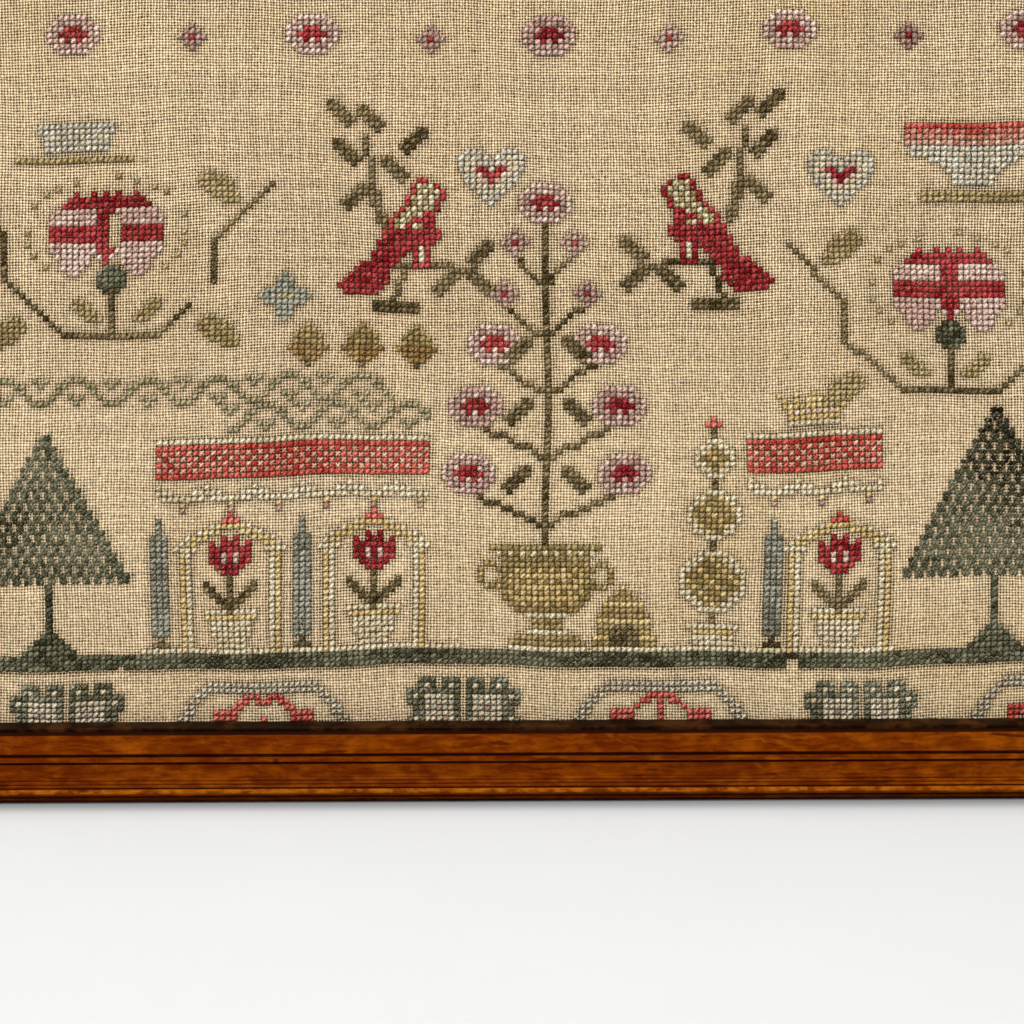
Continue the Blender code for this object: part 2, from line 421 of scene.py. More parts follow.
class Cloth:
    """The stitches of one piece, by column and row. A stitch may be wider or taller than its cell."""

    def __init__(self, name):
        self.name = name
        self.cells = {}

    def put(self, col, row, dye, wide=1.0, high=1.0):
        """Sets one stitch."""
        self.cells[(col, row)] = (dye, wide, high)

    def bare(self, left, right, low, high):
        """Takes out every stitch of a block."""
        for col in range(left, right + 1):
            for row in range(low, high + 1):
                self.cells.pop((col, row), None)

    def chart(self, name, centre, base, flip=False, upside=False, turn=0):
        """Lays a chart with its middle column and lowest row given.

        A turn of 1 or -1 lays it on its side: centre is then a row, and base the column of its foot.
        """
        lines = whole(name)
        width = len(lines[0])
        for down, line in enumerate(lines):
            up = down if upside else len(lines) - 1 - down
            for step, dye in enumerate(line):
                if dye == ".":
                    continue
                across = (width - 1 - step if flip else step) - width // 2
                if turn:
                    self.put(base + turn * up, centre + across, dye)
                else:
                    self.put(centre + across, base + up, dye)

    def line(self, points, dye):
        """Single stitches along straight runs between points."""
        for (c0, r0), (c1, r1) in zip(points, points[1:]):
            steps = max(abs(c1 - c0), abs(r1 - r0), 1)
            for step in range(steps + 1):
                share = step / steps
                self.put(round(c0 + (c1 - c0) * share), round(r0 + (r1 - r0) * share), dye)

    def block(self, left, right, low, high, dye):
        """Fills a block from one column to another, and from one row to another."""
        for col in range(left, right + 1):
            for row in range(low, high + 1):
                self.put(col, row, dye)

    def bar(self, centre, half, row, dye):
        """Fills one row to both sides of a column."""
        self.block(centre - half, centre + half, row, row, dye)


# A fir's crown is worked over three threads of every four, so that the linen shows in upright slits.
CROWN_BASE = 12.6
TIER = 1.88
SLIT = 0.76
SLIT_CAP = 0.45
TRUNK = 1.4
TRUNK_STITCHES = 9
MOUND = (4, 3, 2, 1)


def fir(cloth, centre, base, tiers, lean=0.0, dark_tiers=0):
    """A clipped fir on a stem. Each tier is two rows high, and its slits lie between those of the next.

    lean is how far the crown stands to the right of the stem. The topmost dark_tiers are of a darker wool.
    """
    for step, half in enumerate(MOUND):
        cloth.bar(centre, half, base + step, "g")
    rise = (CROWN_BASE - len(MOUND)) / TRUNK_STITCHES
    for step in range(TRUNK_STITCHES):
        cloth.put(centre - (TRUNK - 1.0) / 2, base + len(MOUND) + step * rise, "g", TRUNK, rise)
    for tier in range(tiers):
        low = base + CROWN_BASE + TIER * tier
        half = tiers - tier
        dye = "i" if half <= dark_tiers else "g"
        start = centre + lean + 0.5 - half
        for number in range(half):
            left = start + 2 * number
            right = left + 2 - SLIT if number < half - 1 else start + 2 * half
            width = (right - left) / 2
            for row in (low, low + TIER / 2):
                cloth.put(left, row, dye, width, TIER / 2)
                cloth.put(left + width, row, dye, width, TIER / 2)
            if number < half - 1:
                cloth.put(right, low + TIER - SLIT_CAP, dye, SLIT, SLIT_CAP)


def knop(cloth, centre, base):
    """Three madder stitches with a fourth on top."""
    cloth.bar(centre, 1, base, "e")
    cloth.put(centre, base + 1, "e")


def cypress(cloth, centre, base, height):
    """A slim clipped cypress on a short stem."""
    cloth.bar(centre, 1, base, "o")
    cloth.put(centre, base + 1, "o")
    for level in range(height):
        cloth.bar(centre, min(1, (height - level) // 4), base + 2 + level, "b")


def arbour(cloth, centre, base, height):
    """Ivory and straw posts under an arch of the same, with a madder knop on top."""
    top = base + height
    for side in (-1, 1):
        for across, dye in ((7, "c"), (8, "y")):
            cloth.line([(centre + across * side, base), (centre + across * side, top)], dye)
        cloth.line([(centre + 9 * side, top), (centre + 6 * side, top)], "c")
        for up, (near, far) in enumerate(((6, 8), (4, 7), (2, 5), (0, 3))):
            for across in range(near, far + 1):
                cloth.put(centre + across * side, top + 1 + up, "y" if across < far else "c")
    knop(cloth, centre, top + 5)


def topiary(cloth, centre, base, sizes):
    """Clipped balls of old gold with ivory rims on one stem, in an ivory pot. sizes are their half widths."""
    for row, half in enumerate((2, 3, 3, 3, 4)):
        cloth.bar(centre, half, base + row, "y" if row == 3 else "c")
    up = base + 7
    cloth.line([(centre, base + 5), (centre, up)], "o")
    for size in sizes:
        middle = up + size
        for across in range(-size, size + 1):
            for rise in range(-size, size + 1):
                away = math.hypot(across, rise)
                leaf = "d" if (across + rise) % 4 else "y"
                if away <= size + 0.4:
                    cloth.put(centre + across, middle + rise, "c" if away > size - 0.8 else leaf)
        up = middle + size + 3
        cloth.line([(centre, middle + size + 1), (centre, up - 1)], "o")
    knop(cloth, centre, up)


CHEQUER_ROWS = 6
SWAG_REPEAT = 8


def diaper(cloth, left, right, low):
    """A madder band chequered with faded rose, an ivory edge above it and ivory swags with drops below."""
    for col in range(left, right + 1):
        for row in range(CHEQUER_ROWS):
            chequered = 0 < row < CHEQUER_ROWS - 1 and (col + row) % 2
            cloth.put(col, low + row, "f" if chequered else "k")
        cloth.put(col, low + CHEQUER_ROWS, "c")
        swing = abs((col - left) % SWAG_REPEAT - SWAG_REPEAT // 2)
        cloth.put(col, low - 4 + swing // 2, "c")
        if swing > 1:
            cloth.put(col, low - 5 + swing // 2, "c")
        if swing == 0:
            cloth.put(col, low - 5, "y")
            cloth.put(col, low - 6, "m")


SCROLL_WAVE = (0, 0, 1, 2, 3, 4, 4, 4, 3, 2, 1, 0)
# The wave's doubled steps, and its steps with a leaf and the leaf's height.
SCROLL_DOUBLED = (3, 9)
SCROLL_LEAVES = {0: 3, 6: 0}


def scrolls(cloth, left, right, low):
    """A faint running wave in sage, with a small leaf in each hollow."""
    for col in range(left, right + 1):
        step = (col - left) % len(SCROLL_WAVE)
        rise = SCROLL_WAVE[step]
        cloth.put(col, low + rise, "n")
        if step in SCROLL_DOUBLED:
            cloth.put(col, low + rise + 1, "n")
        if step in SCROLL_LEAVES:
            for across in (-1, 0, 1):
                cloth.put(col + across, low + SCROLL_LEAVES[step] + abs(across), "n")


ZIGZAG_HEIGHT = 5


def zigzag(cloth, left, right, low):
    """A running zigzag in olive brown, two stitches thick, with a small crimson diamond under each peak."""
    for col in range(left, right + 1):
        rise = abs((col - left) % (2 * ZIGZAG_HEIGHT) - ZIGZAG_HEIGHT)
        cloth.put(col, low + rise, "o")
        cloth.put(col, low + rise + 1, "o")
        if rise == ZIGZAG_HEIGHT and left < col < right:
            for across, up in ((0, 0), (-1, 1), (0, 1), (1, 1), (0, 2)):
                cloth.put(col + across, low + up, "r")


class Sprig:
    """Olive stems and leaves about a middle and a base. Its side is -1 where it is mirrored."""

    def __init__(self, cloth, centre, base, side):
        self.cloth = cloth
        self.centre = centre
        self.base = base
        self.side = side

    def at(self, across, up):
        return self.centre + self.side * across, self.base + up

    def stems(self, *runs):
        for run in runs:
            self.cloth.line([self.at(*point) for point in run], "o")

    def leaves(self, name, *places):
        """Leaves at places, each told with whether it is mirrored."""
        for across, up, mirrored in places:
            self.cloth.chart(name, *self.at(across, up), flip=(mirrored != (self.side < 0)))


def bird_on_bough(cloth, centre, base, flip, back=0):
    """A bird on a leafy bough. Without flip it looks left. back is how far it stands behind the middle."""
    bough = Sprig(cloth, centre, base, -1 if flip else 1)
    cloth.block(centre - 4, centre + 3, base, base + 1, "o")
    bough.stems(
        ((1, 2), (0, 4), (-1, 7)), ((-9, 8), (2, 8)), ((-9, 8), (-12, 6)),
        ((2, 15), (3, 19), (4, 24), (5, 31)), ((3, 16), (4, 21)),
    )
    bough.leaves(
        "leaf", (-14, 8, True), (-14, 3, False), (-8, 3, True), (7, 18, True), (0, 23, False),
        (8, 26, False), (-3, 28, True), (4, 32, False), (9, 33, False),
    )
    cloth.chart("bird", *bough.at(back, 3), flip=flip)


# The ring round a carnation: the stitches that would close it, its half width and half height, how high its
# middle stands, and the sine below which it is open. Every fifth stitch is worn away.
RING_STITCHES = 26
RING_REACH = (13.4, 9.6)
RING_HEIGHT = 18.5
RING_FOOT = -0.75


def carnation_spray(cloth, centre, base, side, lean=0):
    """A striped carnation that rises from an angular garland, with pale leaves and a ring of faded stitches.

    lean is how far the petals lie to the left of their stem.
    """
    garland = Sprig(cloth, centre, base, side)
    for number in range(RING_STITCHES):
        angle = 2 * math.pi * number / RING_STITCHES
        if number % 5 != 2 and math.sin(angle) > RING_FOOT:
            col = centre - lean + RING_REACH[0] * math.cos(angle)
            row = base + RING_HEIGHT + RING_REACH[1] * math.sin(angle)
            cloth.put(round(col), round(row), "l")
    cloth.chart("carnation", centre - lean, base + 11)
    cloth.chart("calyx", centre, base + 8)
    bend = 17 if side > 0 else 18
    garland.stems(
        ((0, 0), (0, 8)), ((-8, 0), (8, 0), (13, 5)), ((bend, 9), (bend, 16), (27, 26)),
        ((-8, 0), (-18, 10), (-18, 18), (-23, 23)),
    )
    if side < 0:
        garland.stems(((13, 5), (bend, 9)))
    garland.leaves(
        "pale_leaf", (18, 23, True), (18, -2, True), (-18, -2, False), (-22, 18, True), (-24, 25, False),
    )
    garland.leaves("bud_leaf", (-4, 3, True), (6, 3, False))


def flowering_tree(cloth, centre, base):
    """An urn with a tall flowering tree that narrows upward in pairs of boughs."""
    cloth.chart("urn", centre, base)
    top = base + len(whole("urn"))
    cloth.line([(centre, top), (centre, base + 78)], "o")
    for tier, (up, reach, bloom) in enumerate(
        ((24, 13, "rose"), (36, 12, "rose"), (47, 9, "rose"), (57, 7, "small_bloom"), (66, 5, "small_bloom"))
    ):
        for side in (-1, 1):
            tip = (centre + side * reach, base + up + 4)
            cloth.line([(centre, base + up - 2), (centre + side * reach // 2, base + up + 1), tip], "o")
            cloth.chart(bloom, tip[0], tip[1])
            if tier < 3:
                cloth.chart("leaf", centre + side * 5, base + up + 4, flip=(side > 0))
    cloth.chart("rose", centre, base + 76)


def lozenge(cloth, centre, middle, size):
    """A medallion of nested lozenges about a small red star."""
    rings = {size: "m", size - 1: "m", size - 4: "y", size - 6: "w", size - 7: "p", 1: "r", 0: "r"}
    for across in range(-size, size + 1):
        for up in range(-size, size + 1):
            dye = rings.get(abs(across) + abs(up))
            if dye:
                cloth.put(centre + across, middle + up, dye)


# The sampler's layout, from the ground line upward.

# The row on which things stand, and how high the ground line's own rows are.
SOIL = 12
GROUND_ROW = 0.87
# Where wool is gone from the ground line, as column and row from its top.
LOST_STITCHES = ((162, 2), (162, 3), (163, 2), (163, 3), (49, 3))
FIR_COLUMNS = (37, 196)
AXIS = 121
# The same above the photographed stretch, and the plain margin at each side there.
UPPER_SOIL = 147
UPPER_AXIS = 117
UPPER_MARGIN = 12

# The border's repeat and first middle, its rows in all and those that show, and how far from the corners its
# upright lengths begin.
BORDER_REPEAT = 33.5
BORDER_START = 6.9
BORDER_ROWS = 9
BORDER_SHOWN = 7
BORDER_CORNER = 12


def border_cloths():
    """The same border along all four edges, its outer part under the slip."""
    motifs = ("border_arch", "border_square", "border_hoop", "border_square")
    outermost = BORDER_SHOWN - BORDER_ROWS
    edges = (
        ("bottom", ACROSS, 0, {"base": outermost}),
        ("top", ACROSS, 0, {"base": UPWARD - BORDER_SHOWN, "upside": True}),
        ("left", UPWARD, BORDER_CORNER, {"base": outermost, "turn": 1}),
        ("right", UPWARD, BORDER_CORNER, {"base": ACROSS - 1 - outermost, "turn": -1}),
    )
    cloths = []
    for place, length, corner, lay in edges:
        cloth = Cloth(place + "_border_stitches")
        for number in range(math.ceil((length - BORDER_START) / BORDER_REPEAT)):
            centre = int(BORDER_START + BORDER_REPEAT * number)
            if corner < centre < length - corner:
                cloth.chart(motifs[number % len(motifs)], centre, **lay)
        cloths.append(cloth)
    return cloths


def landscape_cloth():
    """Ground line and the two great firs."""
    cloth = Cloth("ground_and_fir_stitches")
    for col in range(-4, ACROSS + 4):
        for down in (1, 2, 3):
            if (col, down) not in LOST_STITCHES:
                cloth.put(col, SOIL - down * GROUND_ROW, "g", 1.0, GROUND_ROW)
    fir(cloth, FIR_COLUMNS[0], SOIL, 14)
    fir(cloth, FIR_COLUMNS[1], SOIL, 16, lean=0.6, dark_tiers=7)
    return cloth


def garden_cloth():
    """The garden between the firs: an urn with a flowering tree, arbours, cypresses and two swagged bands."""
    cloth = Cloth("garden_stitches")
    cloth.block(53, 106, SOIL, SOIL, "c")
    cloth.block(136, 179, SOIL, SOIL, "c")
    flowering_tree(cloth, AXIS, SOIL)
    for centre in (56, 80, 159):
        cypress(cloth, centre, SOIL + 1, 21)
    for centre in (68, 92, 170):
        arbour(cloth, centre, SOIL, 18)
        cloth.chart("tulip_pot", centre, SOIL)
    topiary(cloth, 149, SOIL, (5, 4, 3))
    cloth.chart("skep", 134, SOIL)
    diaper(cloth, 56, 101, 43)
    diaper(cloth, 155, 177, 44)
    cloth.chart("crown", 166, 52)
    return cloth


def creatures_cloth():
    """Birds, hearts, carnations, star and the running patterns round them."""
    cloth = Cloth("bird_and_flower_stitches")
    bird_on_bough(cloth, 96, 72, True, back=1)
    bird_on_bough(cloth, 150, 73, False)
    cloth.chart("heart", 112, 91)
    cloth.chart("heart", 171, 90)
    cloth.chart("star", 77, 70)
    carnation_spray(cloth, 48, 68, 1, lean=1)
    cloth.bare(48, 49, 84, 89)
    carnation_spray(cloth, 189, 57, -1)
    scrolls(cloth, 12, 95, 56)
    scrolls(cloth, 68, 101, 51)
    for centre in (81, 90, 99):
        cloth.chart("acorn", centre, 62, upside=True)
    cloth.chart("tub", 42, 101)
    cloth.block(32, 51, 99, 99, "l")
    cloth.chart("basket", 193, 94)
    cloth.block(185, 204, 91, 92, "l")
    return cloth


def upper_cloths():
    """The part of the sampler above the photographed stretch, finished plainly with the same motifs."""
    first = UPPER_MARGIN
    last = ACROSS - 1 - UPPER_MARGIN
    lower = Cloth("middle_band_stitches")
    for row in (130, 142):
        lower.block(first, last, row, row, "n")
    zigzag(lower, first, last, 133)
    for number, centre in enumerate(range(22, ACROSS - 16, 20)):
        lower.chart("rose" if number % 2 else "small_bloom", centre, 118)
    flowering_tree(lower, UPPER_AXIS, UPPER_SOIL)
    for centre in (62, 172):
        lower.chart("tulip_pot", centre, UPPER_SOIL)
        lower.chart("crown", centre, 172)
    for centre in (78, 156):
        cypress(lower, centre, UPPER_SOIL, 24)
    lower.block(first, last, UPPER_SOIL - 2, UPPER_SOIL - 1, "g")

    firs = Cloth("upper_fir_stitches")
    for centre in FIR_COLUMNS:
        fir(firs, centre, UPPER_SOIL, 14)

    upper = Cloth("upper_band_stitches")
    for centre, side in ((44, 1), (190, -1)):
        carnation_spray(upper, centre, 196, side)
    for centre in (80, 154):
        upper.chart("star", centre, 180)
        upper.chart("heart", centre, 212)
    lozenge(upper, UPPER_AXIS, 240, 11)
    diaper(upper, first, 98, 232)
    diaper(upper, 136, last, 232)
    return [lower, firs, upper]


# Cloth and stitches in space

# In stitches: how far grid lines keep from the cloth's edge, and how wide a stitch is that opens its holes.
EDGE_CLEARANCE = 0.3
OPENING_WIDTH = 0.9
# How far the sheet billows, how far it is pulled in at a hole, and how far its back keeps off the board.
BILLOW = 0.05 * MM
HOLE_PULL = 0.07 * MM
BACK_CLEARANCE = 0.05 * MM

# Waves of the hand-stretched cloth: cycles per stitch across and up, phase, and size in stitches.
SIDEWAYS_WAVES = ((0.004, 0.011, 0.4, 0.2), (0.013, 0.023, 2.1, 0.16), (0.049, 0.031, 4.0, 0.06))
UPWARD_WAVES = ((0.009, 0.003, 1.9, 0.45), (0.021, 0.008, 0.2, 0.22), (0.057, 0.021, 3.3, 0.09))


def drift(col, row, waves):
    """How far the waves carry a point to one side, in stitches."""
    return sum(
        size * np.sin(2 * math.pi * (across * col + up * row) + phase)
        for across, up, phase, size in waves
    )


def on_cloth(col, row, height):
    """Counted stitches to points in metres, with the cloth's slight waves."""
    x = SIGHT_LEFT + (col + drift(col, row, SIDEWAYS_WAVES)) * STITCH_WIDTH
    z = SIGHT_BOTTOM + (row + drift(col, row, UPWARD_WAVES)) * STITCH_HEIGHT
    return np.stack([x, -height * np.ones_like(x), z], -1)


def mesh_of(name, points, faces):
    """A smooth mesh from an array of points and arrays of faces, one array for each number of corners."""
    mesh = bpy.data.meshes.new(name)
    mesh.vertices.add(len(points))
    mesh.vertices.foreach_set("co", points.astype(np.float32).ravel())
    corners = np.concatenate([block.ravel() for block in faces])
    sizes = np.concatenate([np.full(len(block), block.shape[1]) for block in faces])
    mesh.loops.add(len(corners))
    mesh.loops.foreach_set("vertex_index", corners.astype(np.int32))
    mesh.polygons.add(len(sizes))
    mesh.polygons.foreach_set("loop_start", (np.cumsum(sizes) - sizes).astype(np.int32))
    mesh.update(calc_edges=True)
    mesh.shade_smooth()
    return mesh


def add_number(mesh, name, values):
    """Stores a number for each point, which a finish reads by name."""
    numbers = mesh.attributes.new(name, "FLOAT", "POINT")
    numbers.data.foreach_set("value", values.astype(np.float32).ravel())


def add_object(name, data):
    """A new object in the scene."""
    added = bpy.data.objects.new(name, data)
    bpy.context.scene.collection.objects.link(added)
    return added


def add_piece(name, mesh):
    """A piece of the sampler, fixed to its frame."""
    piece = add_object(name, mesh)
    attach(piece, "root")
    return piece


def grid_lines(low, high, first, size):
    """Counts of the grid lines along one side: the cloth's own edges, and every stitch clear of them."""
    start = (low - first) / size
    stop = (high - first) / size
    inner = np.arange(math.ceil(start + EDGE_CLEARANCE), math.floor(stop - EDGE_CLEARANCE) + 1)
    return np.concatenate([[start], inner, [stop]])


def add_linen(cells):
    """The stretched cloth, a vertex at each stitch corner, pulled in where stitches pass through.

    pull tells how wide full stitches have opened the holes, and wool_shade how much wool lies on the cloth
    there, which darkens it as painted shade.
    """
    cols = grid_lines(LINEN_LOW.x, LINEN_HIGH.x, SIGHT_LEFT, STITCH_WIDTH)
    rows = grid_lines(LINEN_LOW.z, LINEN_HIGH.z, SIGHT_BOTTOM, STITCH_HEIGHT)
    col, row = np.meshgrid(cols, rows)
    touched = np.zeros(col.shape)
    opened = np.zeros(col.shape)
    first_col, first_row = int(cols[1]), int(rows[1])
    for (c, r), (_, wide, high) in cells.items():
        for across in (0, wide):
            for up in (0, high):
                at_row = round(r + up) - first_row + 1
                at_col = round(c + across) - first_col + 1
                if 0 <= at_row < touched.shape[0] and 0 <= at_col < touched.shape[1]:
                    touched[at_row, at_col] += 1
                    opened[at_row, at_col] += wide > OPENING_WIDTH
    pull = np.minimum(opened / 2, 1.0)
    wool_shade = np.minimum(touched / 4, 1.0)
    billow = BILLOW * np.sin(col * 0.11 + 0.6) * np.sin(row * 0.083 + 1.1)
    height = CLOTH_FRONT + billow - HOLE_PULL * pull
    front = on_cloth(col, row, height)
    x = front[..., 0]
    z = front[..., 2]
    x[:] = x.clip(LINEN_LOW.x, LINEN_HIGH.x)
    z[:] = z.clip(LINEN_LOW.z, LINEN_HIGH.z)
    x[:, 0], x[:, -1] = LINEN_LOW.x, LINEN_HIGH.x
    z[0], z[-1] = LINEN_LOW.z, LINEN_HIGH.z

    tall, wide = col.shape
    index = np.arange(tall * wide).reshape(tall, wide)
    faces = np.stack([index[:-1, :-1], index[:-1, 1:], index[1:, 1:], index[1:, :-1]], -1).reshape(-1, 4)
    rim = np.concatenate([index[0, :-1], index[:-1, -1], index[-1, :0:-1], index[:0:-1, 0]])
    back = front.reshape(-1, 3)[rim].copy()
    back[:, 1] = -(CLOTH_BACK + BACK_CLEARANCE)
    behind = tall * wide + np.arange(len(rim))
    after = np.roll(np.arange(len(rim)), -1)
    sides = np.stack([rim, behind, behind[after], rim[after]], -1)
    points = np.concatenate([front.reshape(-1, 3), back])
    mesh = mesh_of("stretched_linen", points, [faces, sides, behind[None, ::-1]])

    counts = np.stack([col, row], -1).reshape(-1, 2) * THREADS_PER_STITCH
    counts = np.concatenate([counts, counts[rim]])
    corner = np.empty(len(mesh.loops), np.int32)
    mesh.loops.foreach_get("vertex_index", corner)
    threads = mesh.uv_layers.new(name="threads")
    threads.uv.foreach_set("vector", counts[corner].astype(np.float32).ravel())
    for name, values in (("pull", pull), ("wool_shade", wool_shade)):
        add_number(mesh, name, np.concatenate([values.ravel(), np.zeros(len(rim))]))
    mesh.materials.append(linen_finish())
    linen = add_piece("stretched_linen", mesh)
    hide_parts("linen_ground")
    return linen


# A strand is a closed spindle: a tip, three rings of four points, and a tip.
RING_PLACES = np.array([0.19, 0.5, 0.81])
RING_WIDTHS = np.array([0.94, 1.0, 0.94])
RING_RISES = np.array([0.8, 1.0, 0.8])
STRAND_HALF_WIDTH = 0.6 * MM
STRAND_HALF_HEIGHT = 0.12 * MM
STRAND_POINTS = 2 + 4 * len(RING_PLACES)
# A strand's ends lie this far inside its stitch, in stitches.
INSET = 0.03
# How much strands vary: their ends in stitches, all else as a share.
END_SPREAD = 0.065
CREST_SPREAD = 0.1
WIDTH_SPREAD = 0.13
WIDTH_LIMITS = (0.7, 1.3)
THICKNESS_SPREAD = 0.08
CREST_LIMIT = OVER_CREST * 1.15 + HOLE_DEPTH
TONE_SPREAD = 0.26
# A narrow stitch keeps this share of its strands' width.
LEAST_WIDTH = 0.35
# How light the lower strand and a strand's flanks are, as painted shade.
UNDER_SHADE = 0.9
SIDE_SHADE = 0.62


def strand_faces():
    """The spindle's triangles and quads."""
    rings = 1 + np.arange(4 * len(RING_PLACES)).reshape(-1, 4)
    turned = np.roll(rings, -1, axis=1)
    last = np.full(4, STRAND_POINTS - 1)
    tips = [[np.zeros(4, int), turned[0], rings[0]], [rings[-1], turned[-1], last]]
    walls = [[rings[k], turned[k], turned[k + 1], rings[k + 1]] for k in range(len(rings) - 1)]
    return [np.concatenate([np.stack(face, -1) for face in kind]) for kind in (tips, walls)]


def strand_points(start, end, crest, width, thick):
    """The points of many strands at once, each from one hole of the cloth to another.

    crest is how high a strand's middle rises over its ends, and width and thick are its half measures.
    """
    outward = np.array([0.0, -1.0, 0.0])
    along = end - start
    heading = along / np.linalg.norm(along, axis=1, keepdims=True)
    side = np.cross(outward, heading)
    points = [start[:, None]]
    for place, wide, rise in zip(RING_PLACES, RING_WIDTHS, RING_RISES):
        centre = start + along * place + outward * (crest * rise)[:, None]
        reach = side * (width * wide)[:, None]
        lift = outward * (thick * (0.6 + 0.4 * rise))[:, None]
        points.append(np.stack([centre + reach, centre + lift, centre - reach, centre - lift], 1))
    points.append(end[:, None])
    return np.concatenate(points, 1)


def add_stitches(cloth):
    """A cross for each counted cell: a strand from upper left to lower right, then one over it."""
    cells = sorted(cloth.cells)
    count = len(cells)
    place = np.array(cells, float)
    size = np.array([cloth.cells[cell][1:] for cell in cells])
    letters = [cloth.cells[cell][0] for cell in cells]
    dyes = sorted(set(letters))
    dye = np.array([dyes.index(letter) for letter in letters])
    plump = np.array([DYES[letter][3] for letter in letters])
    col, row = place[:, 0], place[:, 1]
    wide, high = size[:, 0], size[:, 1]
    share = LEAST_WIDTH + (1.0 - LEAST_WIDTH) * np.sqrt(wide * high)
    bottom = np.full(count, CLOTH_FRONT - HOLE_DEPTH)

    def corner(across, up):
        """Where strands go through the cloth, at one corner of each stitch."""
        stray = hand.normal(0.0, END_SPREAD, (2, count))
        return on_cloth(col + across * wide + stray[0], row + up * high + stray[1], bottom)

    def layer(start, end, crest):
        """One strand of each stitch."""
        crests = crest * hand.normal(1.0, CREST_SPREAD, count) + HOLE_DEPTH
        widths = STRAND_HALF_WIDTH * hand.normal(1.0, WIDTH_SPREAD, count).clip(*WIDTH_LIMITS)
        thick = STRAND_HALF_HEIGHT * hand.normal(1.0, THICKNESS_SPREAD, count)
        return strand_points(start, end, crests.clip(0.0, CREST_LIMIT), widths * (plump * share), thick)

    near, far = INSET, 1.0 - INSET
    under = layer(corner(near, far), corner(far, near), UNDER_CREST)
    over = layer(corner(near, near), corner(far, far), OVER_CREST)
    points = np.concatenate([under, over]).reshape(-1, 3)
    base = np.arange(2 * count)[:, None, None] * STRAND_POINTS
    faces = [(block[None] + base).reshape(-1, block.shape[1]) for block in strand_faces()]
    mesh = mesh_of(cloth.name, points, faces)

    slot = np.concatenate([np.tile(np.repeat(dye, len(block)), 2) for block in strand_faces()])
    mesh.polygons.foreach_set("material_index", slot.astype(np.int32))
    fading = 0.45 + 0.22 * np.sin(col * 0.21 + row * 0.13 + 1.0) + 0.16 * np.sin(row * 0.37 - col * 0.08)
    tone = (np.tile(fading, 2) + hand.normal(0.0, TONE_SPREAD, 2 * count)).clip(0.0, 1.0)
    add_number(mesh, "tone", np.repeat(tone, STRAND_POINTS))
    # The crest number is painted shade: dark at the tips where a strand dives, dimmer on the flanks and on
    # the lower strand.
    rise = np.concatenate([[0.0], np.repeat(RING_RISES, 4), [0.0]])
    rise[1:-1:2] *= SIDE_SHADE
    shade = np.concatenate([np.tile(rise * UNDER_SHADE, count), np.tile(rise, count)])
    add_number(mesh, "crest", shade.clip(0.0, 1.0))
    for letter in dyes:
        mesh.materials.append(wool(letter))
    return add_piece(cloth.name, mesh)


wools = {}


def wool(letter):
    """The finish of one dye, made when it is first asked for."""
    if letter not in wools:
        wools[letter] = wool_finish(*DYES[letter][:3])
    return wools[letter]


# Wood


# Dark lines of the moulding, painted shade and grime in its grooves and quirks, as outward distance from the
# sight edge, half width and depth of the darkness.
DARK_LINES = (
    (1.15 * MM, 0.75 * MM, 0.97), (7.6 * MM, 0.62 * MM, 0.8), (9.9 * MM, 0.45 * MM, 0.74),
    (14.1 * MM, 0.16 * MM, 0.38), (15.1 * MM, 0.16 * MM, 0.42), (16.15 * MM, 0.16 * MM, 0.42),
    (17.2 * MM, 0.26 * MM, 0.8), (19.75 * MM, 0.34 * MM, 0.85), (21.3 * MM, 0.5 * MM, 0.6),
)
# Lines darker than this aren't worn anywhere.
UNWORN_LINE = 0.7
# The bead's crest, where a painted highlight lies, as its middle and half width, and where painted shade and
# grime on the outer slope set in.
BEAD_CREST = (18.05 * MM, 0.85 * MM)
OUTER_SLOPE = (19.5 * MM, 20.0 * MM)
# Heights above the wall over which the shellac and then the moulded face begin.
BARE_BACK = (0.2 * MM, 0.6 * MM)
MOULDED_FACE = (9.0 * MM, 12.0 * MM)

# Linear colours of the wood.
DARK_MAPLE = (0.103, 0.013, 0.0002)
BROWN_MAPLE = (0.163, 0.025, 0.0003)
HONEY_MAPLE = (0.325, 0.074, 0.001)
# The bead's painted highlight.
HIGHLIT_MAPLE = (0.375, 0.105, 0.005)
FLECK = (0.04, 0.006, 0.0005)
KNOT = (0.03, 0.005, 0.001)
# Painted shade and grime in the moulding's hollows.
GRIME_AND_SHADE = (0.016, 0.0022, 0.0006)
BARE_MAPLE = ((0.15, 0.066, 0.022), (0.25, 0.13, 0.05))
EBONISED = (0.011, 0.0036, 0.001)
WORN_THROUGH = (0.084, 0.03, 0.007)
PINE = ((0.24, 0.13, 0.052), (0.37, 0.23, 0.105))
DARKENED_PINE = (0.13, 0.075, 0.035)


